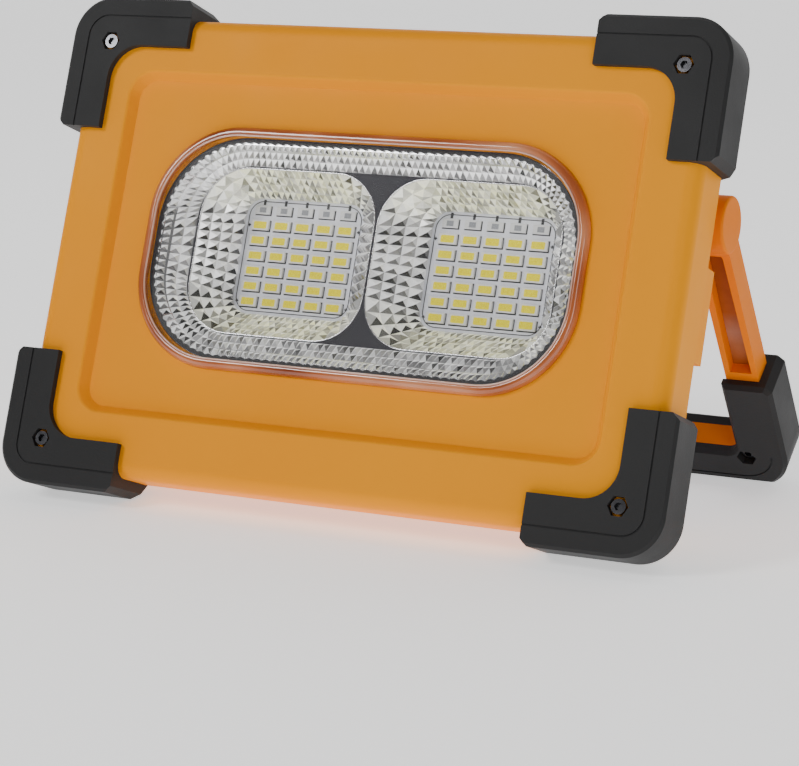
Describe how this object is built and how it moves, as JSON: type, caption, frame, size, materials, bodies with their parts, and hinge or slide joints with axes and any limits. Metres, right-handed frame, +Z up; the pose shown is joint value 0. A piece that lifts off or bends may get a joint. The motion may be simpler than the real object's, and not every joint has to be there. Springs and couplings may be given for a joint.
{
  "type": "rechargeable solar flood light",
  "caption": "Portable rechargeable flood light: framed slab with twin LED reflector cups, rear solar panel, corner bumpers and a folding U-shaped stand.",
  "frame": {"origin": "on the ground under the middle of the lamp: middle of the bounding box seen from above, at its lowest point", "axes": "+Z up, +X to the right when facing the lit front, the front faces -Y"},
  "size_m": [0.21, 0.128, 0.1442],
  "materials": {
    "orange_abs": "satin moulded",
    "charcoal_abs": "fine-grain moulded",
    "clear_lens": "clear polycarbonate",
    "mirror_coat": "vacuum metallised",
    "seal_rubber": "soft",
    "pcb_white": "solder-resist white",
    "pcb_green": "solder-resist green",
    "led_body": "white reflector plastic",
    "phosphor": "silicone with phosphor",
    "chip": "moulded",
    "aluminium": "milled",
    "zinc_steel": "zinc plated",
    "tin": "tinned",
    "black_plastic": "satin",
    "light_pipe": "translucent",
    "solar_blue": "polycrystalline silicon",
    "solar_resin": "clear epoxy",
    "cell_wrap": "shrink sleeve",
    "wire_red": "PVC insulation",
    "magnet": "nickel plated"
  },
  "bodies": {
    "lamp": {"battery_cells": "cell_wrap", "battery_contacts": "tin", "battery_holder": "black_plastic", "battery_leads": "wire_red", "board_components": "chip", "board_screws": "zinc_steel", "charge_socket": "zinc_steel", "control_board": "pcb_green", "corner_guard_bottom_left": "charcoal_abs", "corner_guard_bottom_right": "charcoal_abs", "corner_guard_top_left": "charcoal_abs", "corner_guard_top_right": "charcoal_abs", "front_housing": "orange_abs", "guard_nuts": "zinc_steel", "guard_screws": "zinc_steel", "heat_spreader": "aluminium", "indicator_lights": "light_pipe", "led_board_left": "pcb_white", "led_board_right": "pcb_white", "led_header_pins": "tin", "led_packages_left": "led_body", "led_packages_right": "led_body", "led_phosphor_left": "phosphor", "led_phosphor_right": "phosphor", "lens": "clear_lens", "lens_seal": "seal_rubber", "port_cover_pin": "zinc_steel", "port_hinge_lugs": "black_plastic", "rear_housing": "orange_abs", "reflector": "mirror_coat", "reflector_gasket": "seal_rubber", "reflector_screws": "zinc_steel", "resistors_left": "chip", "resistors_right": "chip", "solar_backing": "black_plastic", "solar_cells": "solar_blue", "solar_cover": "solar_resin", "solar_wires": "wire_red", "spreader_screws": "zinc_steel", "tact_switch": "chip", "usb_a_socket": "zinc_steel"},
    "stand": {"stand_frame": "orange_abs", "stand_guard_left": "charcoal_abs", "stand_guard_right": "charcoal_abs", "stand_screws": "zinc_steel", "stand_nuts": "zinc_steel", "pivot_pins": "zinc_steel", "hinge_nuts": "zinc_steel", "friction_washers": "zinc_steel", "arm_magnets": "magnet"},
    "button": {"power_button": "black_plastic"},
    "cover": {"port_cover": "black_plastic"}
  },
  "joints": [
    {"name": "stand_hinge", "type": "hinge", "parent": "lamp", "child": "stand", "pos_m": [0, -0.00125, 0.08642], "axis": [1, 0, 0], "range_deg": [-55.8, 124]},
    {"name": "power_button_press", "type": "slide", "parent": "lamp", "child": "button", "axis": [-1, 0, 0], "range_m": [0, 0.001], "stiffness_N_per_m": 600, "springref_m": -0.0008},
    {"name": "port_cover_hinge", "type": "hinge", "parent": "lamp", "child": "cover", "pos_m": [-0.0881, -0.00841, 0.0399], "axis": [0, -0.9335, 0.3587], "range_deg": [0, 100]}
  ]
}
